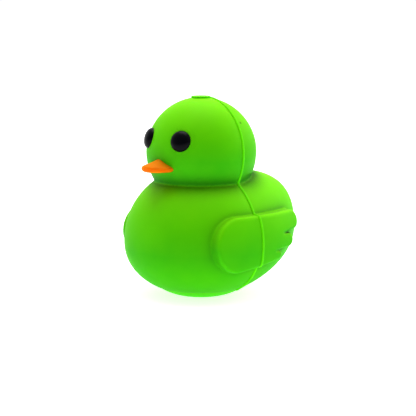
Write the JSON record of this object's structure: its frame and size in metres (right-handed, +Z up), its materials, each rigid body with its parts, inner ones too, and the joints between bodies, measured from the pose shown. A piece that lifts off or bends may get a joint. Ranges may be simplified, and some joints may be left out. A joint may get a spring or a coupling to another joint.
{
  "type": "floating chlorine dispenser",
  "caption": "Duck-shaped pool floater: two-part hull round a closed-top tablet cup, with a twist-off bottom cap and a turning flow shutter.",
  "frame": {"origin": "dispenser axis at the flat foot of the bottom cap", "axes": "+Z up, the duck faces -Y, its left wing is on +X"},
  "size_m": [0.1326, 0.1499, 0.1568],
  "materials": {
    "green_skin": "satin moulded skin",
    "green_strip": "satin",
    "green_plug": "satin",
    "orange": "satin",
    "black": "polished",
    "steel": "bright",
    "clear_rubber": "smooth",
    "white_plastic": "moulded",
    "grey_rubber": "smooth",
    "weight": "plated",
    "green_cap": "moulded",
    "shutter_white": "moulded"
  },
  "bodies": {
    "hull": {"front_shell": "green_skin", "rear_shell": "green_skin", "seam_gasket": "green_strip", "beak": "orange", "eye_left": "black", "eye_right": "black", "eye_nuts": "steel", "beak_nuts": "steel", "crown_plug": "green_plug", "vent_tube": "clear_rubber", "tube_clips": "steel", "tablet_cup": "white_plastic", "cup_gasket": "grey_rubber", "ballast_ring": "weight", "shell_screws": "steel", "screw_plugs": "green_plug"},
    "seal": {"cap_seal": "grey_rubber"},
    "cap": {"base_cap": "green_cap", "tablet_grid": "white_plastic", "grid_screws": "steel", "shutter_washer": "steel", "shutter_screw": "steel"},
    "shutter": {"shutter_disc": "shutter_white"}
  },
  "joints": [
    {"name": "cap_drop", "type": "slide", "parent": "hull", "child": "seal", "axis": [0, 0, -1], "range_m": [0, 0.00623]},
    {"name": "cap_turn", "type": "hinge", "parent": "seal", "child": "cap", "pos_m": [0, 0, 0], "axis": [0, 0, -1], "range_deg": [0, 140]},
    {"name": "shutter_turn", "type": "hinge", "parent": "cap", "child": "shutter", "pos_m": [0, 0, 0], "axis": [0, 0, 1], "range_deg": [0, 46]}
  ],
  "couplings": [
    {"joint": "cap_drop", "follows": "cap_turn", "m_per_rad": 0.0025465}
  ]
}
